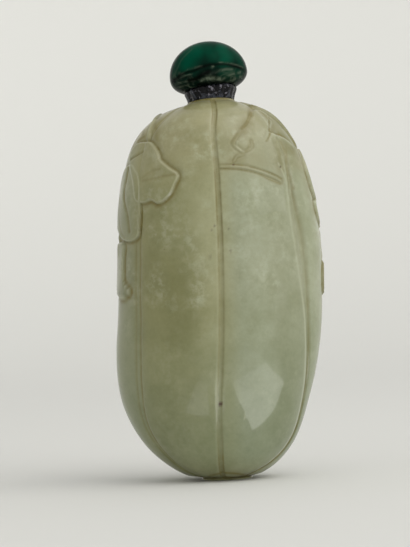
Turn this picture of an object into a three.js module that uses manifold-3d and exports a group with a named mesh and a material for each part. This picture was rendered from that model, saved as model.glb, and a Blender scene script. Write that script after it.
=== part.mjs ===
// Snuff bottle: a hollow, melon-shaped bottle of pale green hardstone, with leaves, buds and vines
// carved on it in low relief, closed by a stopper: a green dome on a dark collar and a cork.
//
// Units are millimetres. +Z is up, the front faces -Y, and the origin is under the middle of the
// foot. The bottle's skin is a surface of two angles: theta runs round it (0 at the front, 90 at
// the right), and w runs up it (0 at its widest level, up to the mouth and down to the foot).
import * as THREE from 'three';
import { mergeVertices } from 'three/addons/utils/BufferGeometryUtils.js';
import Module from 'manifold-3d';

const wasm = await Module();
wasm.setup();

// ---------------------------------------------------------------- driving dimensions
const BODY = { height: 64.7, halfWidth: 17.6, halfDepth: 13, widest: 26 };
// Each end is a superellipse from the widest level: how far it reaches, its two exponents, how
// round its plan gets towards the end (1 is a circle), and the half-width where it stops.
const SHOULDER = { sign: 1, reach: 38.45, p: 3.1, q: 3.2, roundness: 1.0, endRadius: 4.5 };
const BELLY = { sign: -1, reach: 26.2, p: 2.2, q: 2.42, roundness: 0.88, endRadius: 6.4 };
// The axis isn't quite straight: it bows right above the middle and left below it.
const BOWS = [{ at: 40, by: 0.4, over: 12 }, { at: 13, by: -1.3, over: 11 },
  { at: 58, by: -0.2, over: 4 }, { at: 62.8, by: 0.3, over: 2 }];

const RIB_BULGE = 0.55;                     // how far a rib's crest stands over its edges
const CHANNEL_DEPTH = 0.45;                 // depth of the cut line between two ribs
const CHANNEL_WIDTH = 0.85;
// Where each channel runs: its angle in degrees at each height, and its width at each height.
const EVEN_WIDTH = [[0, CHANNEL_WIDTH]];
const CHANNELS = [
  { path: [[0, -4], [2, -3], [6, -0.4], [11, 1.3], [18, 2], [28, 0.6], [36, 0.2], [44, 0.5],
    [56, 1.5], [65, 1.6]], width: EVEN_WIDTH },
  { path: [[0.8, 29], [1.3, 33], [2, 43], [3.3, 54], [5.4, 61.5], [8, 63], [12, 64.2],
    [16, 63.6], [19, 62], [23, 59.6], [27, 57], [30, 55], [36, 52.8], [40, 51.9], [43, 50.3],
    [47, 49.4], [50, 50], [54, 53.5], [60, 57], [65, 56]],
  width: [[0, 0.85], [12, 1.1], [19, 1.4], [30, 1.7], [36, 2.2], [41, 2.2], [44, 1.6],
    [48, 1.1], [54, 1.4], [65, 2]] },
  { path: [[0, 126]], width: EVEN_WIDTH },
  { path: [[0, 180]], width: EVEN_WIDTH },
  { path: [[0, 234]], width: EVEN_WIDTH },
  { path: [[0.8, 324], [1.6, 314], [2.8, 311], [4.2, 308.5], [6.4, 307], [8.5, 306.5],
    [11, 307.5], [14.5, 309.5], [18, 310.2], [23, 310], [30, 308.6], [41, 307.5], [65, 306]],
  width: [[0, 0.85], [6, 0.9], [14, 1.5], [45, 1.6], [50, 0.85]] },
];

const FOOT = { halfWidth: 4.7, halfDepth: 4.1, grooveIn: 0.45, grooveHeight: 0.75 };
const FOOT_RECESS = { halfWidth: 2.6, halfDepth: 1.9, depth: 0.4 };
const LIP = { radius: 4.15, height: 0.2 };
const MOUTH_TILT = THREE.MathUtils.degToRad(2.4);     // the mouth is lower on the left
const CAVITY = { halfWidth: 14.5, halfDepth: 9.7, bottom: 4.2, shoulderReach: 35.2 };
const BORE_RADIUS = 3.1;

const RELIEF = { rise: 0.4, root: 1.3 };    // leaves stand this far out and are rooted this deep
const STEM_RADIUS = 0.42;

const SEAT_GAP = 0.05;                      // between the stopper's pieces, and under its collar
const CORK = { topRadius: 2.95, footRadius: 2.7, length: 5 };
const COLLAR = { height: 2.2, flutes: 16, fluteDepth: 0.1 };
const CAP = { radius: 6.7, domeHeight: 5.7, underHeight: 2.42, underReach: 3.2 };
const STOPPER_TILT = THREE.MathUtils.degToRad(4.9);   // the dome leans left on its collar

// How finely each round form is cut into facets.
const RIB_COLUMNS = 5;
const ROWS = { shoulder: 16, belly: 13 };
const CAVITY_GRID = { columns: 24, rows: 7 };
const LEAF_POINTS = 22;
const DEGREES_PER_MM = 4;               // about how far round the skin a millimetre is
const STOPPER_COLUMNS = 32;

const MATERIALS = {
  jade: { color: 0x9a9b79, roughness: 0.32 },
  greenDome: { color: 0x06302a, roughness: 0.08 },
  darkCollar: { color: 0x1c1f20, roughness: 0.35 },
  cork: { color: 0x8b6a45, roughness: 0.9 },
};

const { degToRad, lerp } = THREE.MathUtils;

// ---------------------------------------------------------------- the bottle's skin
const endAt = (w) => (w >= 0 ? SHOULDER : BELLY);

// The angle w at which an end has narrowed to the given half-width.
function angleAtHalfWidth(end, halfWidth) {
  const s = (1 - (halfWidth / BODY.halfWidth) ** end.q) ** (1 / end.p);
  return end.sign * Math.asin(s);
}

const angleAtHeight = (z) => {
  const end = z >= BODY.widest ? SHOULDER : BELLY;
  return end.sign * Math.asin(Math.min(1, Math.abs(z - BODY.widest) / end.reach));
};

// Height, half-width and half-depth of the smooth bottle at the angle w.
function profile(w) {
  const end = endAt(w);
  const s = Math.sin(Math.abs(w));
  const halfWidth = BODY.halfWidth * (1 - s ** end.p) ** (1 / end.q);
  const slimness = BODY.halfDepth / BODY.halfWidth;
  const ratio = slimness + (end.roundness - slimness) * s ** 6;
  return { z: BODY.widest + end.sign * end.reach * s, halfWidth, halfDepth: halfWidth * ratio };
}

const bow = (z) => BOWS.reduce((sum, b) => sum + b.by * Math.exp(-(((z - b.at) / b.over) ** 2)), 0);

function smoothPoint(theta, w) {
  const { z, halfWidth, halfDepth } = profile(w);
  return new THREE.Vector3(bow(z) + halfWidth * Math.sin(theta), -halfDepth * Math.cos(theta), z);
}

function outward(theta, w) {
  const e = 1e-3;
  const round = smoothPoint(theta + e, w).sub(smoothPoint(theta - e, w));
  const up = smoothPoint(theta, w + e).sub(smoothPoint(theta, w - e));
  return round.cross(up).normalize();
}

// The value at a height, from a list of [height, value] that rises in height.
function valueAt(table, z) {
  const next = table.findIndex(([height]) => height > z);
  if (next <= 0) return next === 0 ? table[0][1] : table.at(-1)[1];
  const [[z0, v0], [z1, v1]] = [table[next - 1], table[next]];
  return lerp(v0, v1, (z - z0) / (z1 - z0));
}

const channelAngle = (channel, z) => degToRad(valueAt(channel.path, z));

// How far the skin lies under the smooth form: nothing on a rib's crest, most at its edges.
function ribOffset(theta, w) {
  const { z, halfWidth } = profile(w);
  const turn = 2 * Math.PI;
  const at = ((theta % turn) + turn) % turn;
  const edges = CHANNELS.map((channel) => channelAngle(channel, z));
  const [first] = edges;
  const place = at < first ? at + turn : at - first >= turn ? at - turn : at;
  const next = edges.findIndex((angle) => angle > place);
  const from = edges[(next < 0 ? edges.length : next) - 1];
  const to = next < 0 ? first + turn : edges[next];
  const crest = Math.max(0, Math.sin(Math.PI * (place - from) / (to - from))) ** 0.8;
  return -RIB_BULGE * (halfWidth / BODY.halfWidth) * (1 - crest);
}

// A point of the ribbed skin, or a point over (+) or under (-) it.
function skinPoint(theta, w, over = 0) {
  return smoothPoint(theta, w).addScaledVector(outward(theta, w), ribOffset(theta, w) + over);
}

// One ring of skin points: each channel as an edge, a two-point floor and an edge, then its rib.
function skinRing(w) {
  const { z, halfWidth, halfDepth } = profile(w);
  const channels = CHANNELS.map((channel) => {
    const middle = channelAngle(channel, z);
    const speed = Math.hypot(halfWidth * Math.cos(middle), halfDepth * Math.sin(middle));
    return { middle, half: valueAt(channel.width, z) / 2 / speed };
  });
  const depth = CHANNEL_DEPTH * Math.min(1, halfWidth / 8);
  const ring = [];
  channels.forEach(({ middle, half }, i) => {
    for (const [side, under] of [[-1, 0], [-0.55, depth], [0.55, depth], [1, 0]]) {
      ring.push({ theta: middle + side * half, over: -under });
    }
    const next = channels[(i + 1) % channels.length];
    const wrap = i + 1 === channels.length ? 2 * Math.PI : 0;
    for (let k = 1; k <= RIB_COLUMNS; k += 1) {
      const t = k / (RIB_COLUMNS + 1);
      ring.push({ theta: lerp(middle + half, next.middle + wrap - next.half, t), over: 0 });
    }
  });
  return ring.map(({ theta, over }) => ({ theta, point: skinPoint(theta, w, over) }));
}

// ---------------------------------------------------------------- surfaces from rings
// A closed surface from a stack of equal rings, with a point closing it at each end.
function stackRings(firstPoint, rings, lastPoint) {
  const count = rings[0].length;
  const positions = [firstPoint, ...rings.flat(), lastPoint].flatMap((p) => p.toArray());
  const last = 1 + rings.length * count;
  const index = [];
  for (let i = 0; i < count; i += 1) {
    const j = (i + 1) % count;
    index.push(0, 1 + j, 1 + i);
    for (let row = 0; row + 1 < rings.length; row += 1) {
      const low = 1 + row * count;
      const high = low + count;
      index.push(low + i, low + j, high + j, low + i, high + j, high + i);
    }
    index.push(last - count + i, last - count + j, last);
  }
  const geometry = new THREE.BufferGeometry();
  geometry.setAttribute('position', new THREE.Float32BufferAttribute(positions, 3));
  geometry.setIndex(index);
  return geometry;
}

const ovalRing = (angles, halfWidth, halfDepth, z) => angles.map((theta) => new THREE.Vector3(
  halfWidth * Math.sin(theta), -halfDepth * Math.cos(theta), z));

// A round ring on the mouth's slant.
const tiltedRing = (angles, radius, z) => ovalRing(angles, radius, radius, z)
  .map((p) => p.setZ(z + Math.tan(MOUTH_TILT) * p.x));

const evenAngles = (count) => Array.from({ length: count }, (_, i) => (2 * Math.PI * i) / count);

// A round solid from its profile, a list of [radius, z] from the bottom to the top.
function roundSolid(outline, columns) {
  const angles = evenAngles(columns);
  const rings = outline.map(([radius, z]) => ovalRing(angles, radius, radius, z));
  const centre = (z) => new THREE.Vector3(0, 0, z);
  return stackRings(centre(outline[0][1]), rings, centre(outline.at(-1)[1]));
}

// ---------------------------------------------------------------- solids for manifold-3d
function toManifold(geometry) {
  const bare = new THREE.BufferGeometry();
  bare.setAttribute('position', geometry.getAttribute('position'));
  bare.setIndex(geometry.getIndex());
  const merged = mergeVertices(bare, 1e-5);
  return new wasm.Manifold(new wasm.Mesh({
    numProp: 3,
    vertProperties: new Float32Array(merged.getAttribute('position').array),
    triVerts: new Uint32Array(merged.getIndex().array),
  }));
}

function toGeometry(manifold) {
  const mesh = manifold.getMesh();
  const geometry = new THREE.BufferGeometry();
  geometry.setAttribute('position', new THREE.BufferAttribute(mesh.vertProperties, 3));
  geometry.setIndex(new THREE.BufferAttribute(mesh.triVerts, 1));
  return geometry;
}

// ---------------------------------------------------------------- the bottle
// The outside, from the recess under the foot up to the top of the lip.
function makeOutside() {
  const skin = [];
  for (let i = 0; i <= ROWS.belly; i += 1) {
    skin.push(skinRing(angleAtHalfWidth(BELLY, BELLY.endRadius) * (1 - i / ROWS.belly)));
  }
  for (let i = 1; i <= ROWS.shoulder; i += 1) {
    skin.push(skinRing(angleAtHalfWidth(SHOULDER, SHOULDER.endRadius) * (i / ROWS.shoulder)));
  }
  const footAngles = skin[0].map(({ theta }) => theta);
  const mouthAngles = skin.at(-1).map(({ theta }) => theta);
  const { halfWidth, halfDepth, grooveIn, grooveHeight } = FOOT;
  const rings = [
    ovalRing(footAngles, FOOT_RECESS.halfWidth * 0.85, FOOT_RECESS.halfDepth * 0.85,
      FOOT_RECESS.depth),
    ovalRing(footAngles, FOOT_RECESS.halfWidth, FOOT_RECESS.halfDepth, 0),
    ovalRing(footAngles, halfWidth, halfDepth, 0),
    ovalRing(footAngles, halfWidth - grooveIn, halfDepth - grooveIn, grooveHeight),
    ...skin.map((ring) => ring.map(({ point }) => point)),
    tiltedRing(mouthAngles, LIP.radius, BODY.height - LIP.height),
    tiltedRing(mouthAngles, LIP.radius, BODY.height),
  ];
  return stackRings(new THREE.Vector3(0, 0, FOOT_RECESS.depth), rings,
    new THREE.Vector3(0, 0, BODY.height));
}

// The hollow: the bottle's own curves drawn in by the wall, opening into the straight bore.
function makeHollow() {
  const angles = evenAngles(CAVITY_GRID.columns);
  const belly = BODY.widest - CAVITY.bottom;
  const slimness = CAVITY.halfDepth / CAVITY.halfWidth;
  const ring = (end, reach, s) => {
    const wide = CAVITY.halfWidth * (1 - s ** end.p) ** (1 / end.q);
    const deep = wide * lerp(slimness, 1, s ** 6);
    return ovalRing(angles, wide, deep, BODY.widest + end.sign * reach * s);
  };
  const boreStart = (1 - (BORE_RADIUS / CAVITY.halfWidth) ** SHOULDER.q) ** (1 / SHOULDER.p);
  const rings = [];
  for (let i = CAVITY_GRID.rows; i > 0; i -= 1) {
    rings.push(ring(BELLY, belly, Math.sin((degToRad(84) * i) / CAVITY_GRID.rows)));
  }
  for (let i = 0; i <= CAVITY_GRID.rows; i += 1) {
    rings.push(ring(SHOULDER, CAVITY.shoulderReach,
      Math.sin((Math.asin(boreStart) * i) / CAVITY_GRID.rows)));
  }
  const above = BODY.height + 1;
  rings.push(ovalRing(angles, BORE_RADIUS, BORE_RADIUS, above));
  return stackRings(new THREE.Vector3(0, 0, CAVITY.bottom), rings,
    new THREE.Vector3(0, 0, above));
}

// A leaf laid on the skin: its outline is a smooth closed line through [theta, z] places, and
// each ring of its solid is that outline drawn in towards its centre.
function makeLeaf(through) {
  const outline = new THREE.CatmullRomCurve3(
    through.map(([theta, z]) => new THREE.Vector3(theta / DEGREES_PER_MM, z, 0)), true);
  const edge = outline.getSpacedPoints(LEAF_POINTS).slice(0, LEAF_POINTS)
    .map((p) => new THREE.Vector2(p.x * DEGREES_PER_MM, p.y));
  if (THREE.ShapeUtils.area(edge) < 0) edge.reverse();
  const centre = edge.reduce((sum, p) => sum.add(p), new THREE.Vector2())
    .divideScalar(LEAF_POINTS);
  const at = (p, over) => skinPoint(degToRad(p.x), angleAtHeight(p.y), over);
  const ring = (share, over) => edge.map((p) => at(centre.clone().lerp(p, share), over));
  const { rise, root } = RELIEF;
  const rings = [ring(0.55, -root), ring(1, -root), ring(1, rise * 0.55), ring(0.9, rise),
    ring(0.45, rise)];
  return stackRings(at(centre, -root), rings, at(centre, rise));
}

// A stem laid on the skin along a smooth line through [theta, z] places, half sunk in it.
function makeStem({ through, radius = STEM_RADIUS, segments = 10, sides = 6 }) {
  const route = new THREE.CatmullRomCurve3(
    through.map(([theta, z]) => new THREE.Vector3(theta, z, 0)));
  const middle = route.getSpacedPoints(segments).map((place) => {
    const w = angleAtHeight(place.y);
    const theta = degToRad(place.x);
    return { point: skinPoint(theta, w), up: outward(theta, w) };
  });
  const rings = middle.map(({ point, up }, i) => {
    const before = middle[Math.max(0, i - 1)].point;
    const after = middle[Math.min(segments, i + 1)].point;
    const side = up.clone().cross(after.clone().sub(before)).normalize();
    return evenAngles(sides).map((angle) => point.clone()
      .addScaledVector(side, radius * Math.cos(angle))
      .addScaledVector(up, radius * Math.sin(angle) * 1.2));
  });
  return stackRings(middle[0].point, rings, middle[segments].point);
}

// Front left: a broad leaf over the shoulder, a long one under it, and a bud.
// Front right: two leaves on the shoulder. Right side: two leaves and a bud. Back: one leaf.
const LEAVES = [
  [[-54, 58.2], [-48, 57.8], [-42, 56.8], [-38, 55.7], [-36.5, 54.9], [-29.5, 53.5],
    [-22.8, 52.1], [-24.8, 50.4], [-28, 48.8], [-33, 47.7], [-37, 47.4], [-42, 48],
    [-48.7, 47.7], [-58, 48.3], [-63, 51.5], [-71, 54.5], [-75, 56.2], [-69, 58]],
  [[-67, 54.5], [-60.5, 53.5], [-56.3, 52.4], [-53.3, 49.5], [-52.1, 45.7], [-54.2, 42.2],
    [-63.8, 41.3], [-76.5, 42.1], [-86, 44], [-91, 47], [-90, 51], [-80, 54]],
  [[-76, 41.2], [-68.5, 40], [-67.7, 38.5], [-69.5, 36.2], [-67.5, 34.4], [-60.5, 32.8],
    [-67, 31.7], [-78, 31.7], [-88, 32.6], [-94, 35], [-94, 38.2], [-86, 40.8]],
  [[50, 62.9], [60, 62.9], [63.5, 61.9], [58, 60.8], [51, 59.5], [47, 58.4], [41.8, 57.4],
    [36.3, 56.9], [31.6, 57.3], [30.5, 58.6], [34, 60.4], [41, 62]],
  [[46, 58.3], [53.6, 58.2], [59.5, 57.7], [64.5, 57], [69, 55.8], [71.5, 54.6],
    [69.5, 53.2], [64, 51.8], [56.7, 50.7], [48, 50.2], [40.5, 51], [35.5, 52.2],
    [34.5, 54.2], [38, 57]],
  [[92, 57.8], [84, 56.8], [80, 54.5], [78.5, 51.5], [80.5, 48.5], [88, 46.6], [100, 46.4],
    [110, 47.4], [115, 50], [112, 53.8], [103, 57]],
  [[84, 46.8], [79.5, 46], [82, 44], [88, 42.8], [96, 41.4], [104, 41.4], [108, 43.6],
    [102, 46], [92, 47.2]],
  [[92, 37.6], [85.5, 36.6], [83.5, 34.2], [85, 31.6], [91, 30.5], [98, 30.6], [102, 33.2],
    [99.5, 36.4]],
  [[150, 58.2], [160, 57.6], [168, 55.4], [170, 52.4], [163, 49.6], [156, 47.2], [146, 49.4],
    [138, 50.4], [134, 53.4], [139, 56.8]],
];

// The branch over each shoulder, the vine across the front rib, its tendril, and the back's vine.
const STEMS = [
  { through: [[-90, 62.9], [-74, 62], [-65.5, 60.9], [-59.3, 59.6], [-54, 57.6]] },
  { through: [[-84, 44], [-82, 41], [-81, 39]] },
  { through: [[62, 63.6], [74, 62.1], [84, 59.5], [92, 56]] },
  { through: [[3, 53], [12, 53.2], [23, 52.7], [33, 51.6], [44, 50]], radius: 0.36,
    segments: 12 },
  { through: [[56, 63.4], [42, 62.1], [33, 61], [27, 59.9], [21, 58.7], [15.5, 57.2],
    [16.5, 56], [17, 55], [12.5, 53.8]], radius: 0.34, segments: 16 },
  { through: [[96, 42.5], [98, 39.5], [95, 36]] },
  { through: [[128, 63.6], [136, 61.3], [146, 57.5]] },
  { through: [[156, 50], [166, 48.2], [178, 48.6]], radius: 0.36 },
];

function makeBottle() {
  const carved = [...LEAVES.map(makeLeaf), ...STEMS.map(makeStem)]
    .reduce((solid, geometry) => solid.add(toManifold(geometry)), toManifold(makeOutside()));
  return toGeometry(carved.subtract(toManifold(makeHollow())));
}

// ---------------------------------------------------------------- the stopper
function makeCork() {
  const top = BODY.height - Math.tan(MOUTH_TILT) * CORK.topRadius;
  return roundSolid([[CORK.footRadius, top - CORK.length], [CORK.topRadius, top]], 24);
}

// The collar flares to a rounded rim, with fine flutes round it. Its foot is on the mouth's
// slant, and its top is on the dome's.
function makeCollar() {
  const angles = evenAngles(STOPPER_COLUMNS);
  const outline = [[4, 0], [4.05, 0.2], [4.45, 0.7], [4.5, 0.88], [4.3, 1]];
  const foot = BODY.height + SEAT_GAP;
  const rings = outline.map(([radius, share]) => angles.map((theta) => {
    const r = radius - (COLLAR.fluteDepth / 2) * (1 - Math.cos(COLLAR.flutes * theta));
    const x = r * Math.sin(theta);
    const low = foot + Math.tan(MOUTH_TILT) * x;
    const high = foot + COLLAR.height + Math.tan(STOPPER_TILT) * x;
    return new THREE.Vector3(x, -r * Math.cos(theta), lerp(low, high, share));
  }));
  return stackRings(new THREE.Vector3(0, 0, foot), rings,
    new THREE.Vector3(0, 0, foot + COLLAR.height));
}

// The dome: half an ellipse over its girdle, and a flatter one under it that ends on the collar.
function makeCap() {
  const outline = [];
  const under = Math.asin(CAP.underHeight / CAP.underReach);
  for (let i = 4; i > 0; i -= 1) {
    const angle = (under * i) / 4;
    outline.push([CAP.radius * Math.cos(angle),
      CAP.underHeight - CAP.underReach * Math.sin(angle)]);
  }
  for (let i = 0; i < 9; i += 1) {
    const angle = degToRad(10 * i);
    outline.push([CAP.radius * Math.cos(angle),
      CAP.underHeight + CAP.domeHeight * Math.sin(angle)]);
  }
  const geometry = roundSolid(outline, STOPPER_COLUMNS);
  const top = geometry.getAttribute('position');
  top.setZ(top.count - 1, CAP.underHeight + CAP.domeHeight);
  geometry.rotateY(-STOPPER_TILT);
  return geometry.translate(0, 0, BODY.height + COLLAR.height + 2 * SEAT_GAP);
}

// ---------------------------------------------------------------- the finished part
function namedMesh(name, geometry, look) {
  const bare = new THREE.BufferGeometry();
  bare.setAttribute('position', geometry.getAttribute('position'));
  bare.setIndex(geometry.getIndex());
  const merged = mergeVertices(bare, 1e-5);
  merged.computeVertexNormals();
  const mesh = new THREE.Mesh(merged, new THREE.MeshStandardMaterial({ metalness: 0, ...look }));
  mesh.name = name;
  return mesh;
}

const snuffBottle = new THREE.Group();
snuffBottle.name = 'snuff_bottle';
snuffBottle.add(
  namedMesh('bottle_body', makeBottle(), MATERIALS.jade),
  namedMesh('stopper_cork', makeCork(), MATERIALS.cork),
  namedMesh('stopper_collar', makeCollar(), MATERIALS.darkCollar),
  namedMesh('stopper_cap', makeCap(), MATERIALS.greenDome),
);

export default snuffBottle;
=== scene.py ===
import math

import bpy
import numpy as np
from bpy.props import FloatProperty, FloatVectorProperty, PointerProperty
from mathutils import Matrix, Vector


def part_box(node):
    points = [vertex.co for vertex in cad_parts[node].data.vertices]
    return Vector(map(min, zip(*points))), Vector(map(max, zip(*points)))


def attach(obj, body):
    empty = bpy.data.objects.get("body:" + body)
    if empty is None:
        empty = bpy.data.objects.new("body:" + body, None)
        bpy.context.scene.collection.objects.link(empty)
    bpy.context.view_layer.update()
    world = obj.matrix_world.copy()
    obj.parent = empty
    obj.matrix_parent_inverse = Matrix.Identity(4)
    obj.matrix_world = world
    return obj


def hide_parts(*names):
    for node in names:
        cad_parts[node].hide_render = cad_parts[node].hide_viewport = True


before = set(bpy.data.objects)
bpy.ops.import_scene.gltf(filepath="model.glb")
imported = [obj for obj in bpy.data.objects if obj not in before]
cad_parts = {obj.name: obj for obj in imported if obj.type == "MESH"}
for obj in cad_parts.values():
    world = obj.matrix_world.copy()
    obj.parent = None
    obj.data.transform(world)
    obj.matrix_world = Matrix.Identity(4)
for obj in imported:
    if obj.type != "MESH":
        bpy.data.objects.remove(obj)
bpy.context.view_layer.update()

bl_info = {
    "name": "Melon Snuff Bottle",
    "version": (1, 0, 0),
    "blender": (4, 5, 0),
    "location": "3D View > Sidebar > Snuff Bottle",
    "description": "Builds a carved, ribbed snuff bottle with its stopper",
    "category": "Add Mesh",
}

MM = 0.001
TURN = 2 * math.pi

# ------------------------------------------------------------------ the bottle's form, in mm
MOUTH_SLOPE = math.tan(math.radians(2.4))   # the mouth is lower on the left
MOUTH_LEAN = math.tan(math.radians(7))      # and lower at the back
LIP_RADIUS = 4.15
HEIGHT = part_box("bottle_body")[1].z / MM - MOUTH_SLOPE * LIP_RADIUS
WIDEST = 26.0
HALF_WIDTH = 17.6
HALF_DEPTH = 13.0
# Each end is a superellipse from the widest level: (sign, reach, p, q, roundness, end half-width).
SHOULDER = (1, 38.45, 3.1, 3.2, 1.0, 4.5)
BELLY = (-1, 26.2, 2.2, 2.42, 0.88, 6.4)
# The axis bows: (height, to the right by, over).
BOWS = ((40, 0.4, 12), (13, -1.3, 11), (58, -0.2, 4), (62.8, 0.3, 2))

# The cut lines between the ribs: the angle at each height, the width at each height, how brown
# the line is at each height, and how many columns the rib after it gets.
EVEN_WIDTH = ((0, 0.85),)
CHANNELS = {
    "front": dict(
        path=((0, -4), (2, -3), (6, -0.4), (11, 1.3), (18, 2), (28, 0.6), (36, 0.2), (44, 0.5),
              (56, 1.5), (65, 1.6)),
        width=EVEN_WIDTH, columns=64,
        brown=((0, 1.0), (5, 0.95), (6.5, 0.4), (15, 0.25), (18, 0.4), (26, 0.5), (40, 0.7),
               (44, 0.9), (54, 0.9), (56, 0.4), (59.5, 0.4), (61.5, 0.9), (65, 0.9))),
    "right": dict(
        path=((0.5, 32), (1, 42), (2, 56), (3.3, 66), (5.7, 72), (8, 74), (11, 73.4),
              (14.4, 71.5), (19.6, 65.7), (25, 61.1), (30, 57.6), (34.6, 55.6), (38.6, 53.6),
              (43, 52.2), (47, 51), (50, 51.4), (54, 54), (60, 57), (65, 56)),
        width=((0, 0.85), (12, 1.1), (19, 1.4), (28, 1.7), (34, 2.8), (38, 3.0), (43, 3.0),
               (47, 2.2), (50, 1.4), (54, 1.4), (65, 2)), columns=60,
        brown=((0, 0.9), (6, 0.8), (20, 0.65), (40, 0.6), (48, 0.7), (65, 0.5))),
    "right_back": dict(path=((0, 126),), width=EVEN_WIDTH, columns=36,
                       brown=((0, 0.8), (6, 0.4), (40, 0.4), (65, 0.8))),
    "back": dict(path=((0, 180),), width=EVEN_WIDTH, columns=22,
                 brown=((0, 1.0), (6, 0.3), (40, 0.5), (65, 0.9))),
    "left_back": dict(path=((0, 234),), width=EVEN_WIDTH, columns=64,
                      brown=((0, 0.8), (6, 0.4), (40, 0.4), (65, 0.8))),
    "left": dict(
        path=((0.3, 322), (1.6, 306), (3.5, 303.2), (7, 302.2), (11, 304), (15.6, 307),
              (21, 308), (26.4, 306.8), (31.5, 305.8), (42, 305.3), (65, 304)),
        width=((0, 0.85), (6, 0.9), (14, 1.5), (45, 1.6), (50, 0.85)), columns=60,
        brown=((0, 1.0), (6, 0.9), (14, 0.75), (30, 0.8), (36, 0.9), (46, 0.9), (65, 0.8))),
}
CHANNEL_COLUMNS = 9

# Rows of the skin are this far apart: by the foot, where the carving is, and between them.
FOOT_TOP, CARVED_ABOVE = 3, 39
FOOT_ROW, CARVED_ROW, PLAIN_ROW = 0.25, 0.2, 0.62

# The rings that close the bottle under its skin: those of the recess by their share of its
# half-widths, those of the foot by what they add to its half-width and half-depth, each with
# its height. The lip's rings add to its radius and to the height. Each ring has its brown.
FOOT_HALF_WIDTH, FOOT_HALF_DEPTH = 4.35, 3.75
RECESS_HALF_WIDTH, RECESS_HALF_DEPTH, RECESS_DEPTH = 2.6, 1.9, 0.4
RECESS_RINGS = ((0.5, RECESS_DEPTH), (0.85, RECESS_DEPTH * 0.9), (0.97, 0.08), (1, 0))
FOOT_RINGS = ((-0.1, -0.1, 0), (0, 0, 0.06), (0, 0, 0.2), (-0.1, -0.1, 0.3),
              (-0.14, -0.14, 0.42), (0.25, 0.2, 0.5))
FOOT_BROWN = (0.2, 0.3, 0.2, 0.1, 0.1, 0.2, 0.3, 0.7, 1.0, 1.0)
LIP_RINGS = ((0.03, -0.2), (0, -0.06), (-0.06, 0))
LIP_BROWN = (1.0, 1.0, 0.9)
BORE_RADIUS, BORE_EDGE = 3.1, 0.06           # the bore's top edge is softened by so much
CAVITY_HALF_WIDTH, CAVITY_HALF_DEPTH = 14.5, 9.7
CAVITY_BOTTOM, CAVITY_REACH = 4.2, 35.2
CAVITY_ROWS_UP, CAVITY_ROWS_DOWN = 16, 14
INSIDE_SHARE = 6                             # the hollow has one column for each six outside

# ------------------------------------------------------------------ the carving
# Each leaf's closed outline goes through (theta, z) places. It rises over the skin, and where
# it has a fade or a low it comes out of the skin between those two angles or heights.
LEAVES = {
    "broad_left": dict(rise=0.34, through=(
        (-54, 58.2), (-48, 57.8), (-42, 56.8), (-38, 55.7), (-36.5, 54.9), (-29.5, 53.5),
        (-22.8, 52.1), (-24.8, 50.4), (-28, 48.8), (-33, 47.7), (-37, 47.4), (-42, 48),
        (-48.7, 47.7), (-58, 48.3), (-63, 51.5), (-71, 54.5), (-75, 56.2), (-69, 58))),
    "long_left": dict(rise=0.28, through=(
        (-67, 54.5), (-60.5, 53.5), (-56.3, 52.4), (-53.3, 49.5), (-52.1, 45.7), (-54.2, 42.2),
        (-63.8, 41.3), (-76.5, 42.1), (-86, 44), (-91, 47), (-90, 51), (-80, 54))),
    "bud_left": dict(rise=0.26, through=(
        (-76, 41.4), (-70, 40.8), (-71, 38.3), (-70.6, 36), (-69, 34.4), (-61.5, 32.9),
        (-67, 31.9), (-78, 31.7), (-88, 32.6), (-94, 35), (-94, 38.2), (-86, 40.8))),
    "small_right": dict(rise=0.13, fade=(34, 54), through=(
        (50, 62.9), (60, 62.9), (63.5, 61.9), (58, 60.8), (51, 59.5), (47, 58.4), (41.8, 57.4),
        (36.3, 56.9), (31.6, 57.3), (30.5, 58.6), (34, 60.4), (41, 62))),
    "broad_right": dict(rise=0.2, fade=(36, 56), low=(51, 56), through=(
        (46, 58.9), (51.5, 58.9), (59.3, 58.5), (67, 57.8), (76, 56.7), (86, 55.6), (88, 53),
        (80, 51), (68, 50), (56, 49.6), (48, 49.8), (40.5, 51), (35.5, 52.2), (34.5, 54.2),
        (38, 57))),
    "side_right": dict(rise=0.4, through=(
        (92, 56), (87, 55.4), (82.5, 53.2), (81, 50.8), (82, 48.6), (88, 47), (100, 46.6),
        (110, 47.4), (115, 50), (112, 53.4), (103, 55.8))),
    "side_right_low": dict(rise=0.3, through=(
        (86, 47.2), (81.5, 46.6), (83, 44.8), (88, 43.4), (96, 42.4), (104, 42.4), (108, 44),
        (102, 46), (92, 47.4))),
    "bud_right": dict(rise=0.32, through=(
        (92, 36.9), (87, 36), (85, 34.1), (86.5, 31.9), (91, 30.9), (97, 31.1), (100, 33.2),
        (98, 35.8))),
    "back": dict(rise=0.4, through=(
        (150, 58.2), (160, 57.6), (168, 55.4), (170, 52.4), (163, 49.6), (156, 47.2),
        (146, 49.4), (138, 50.4), (134, 53.4), (139, 56.8))),
}
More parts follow.
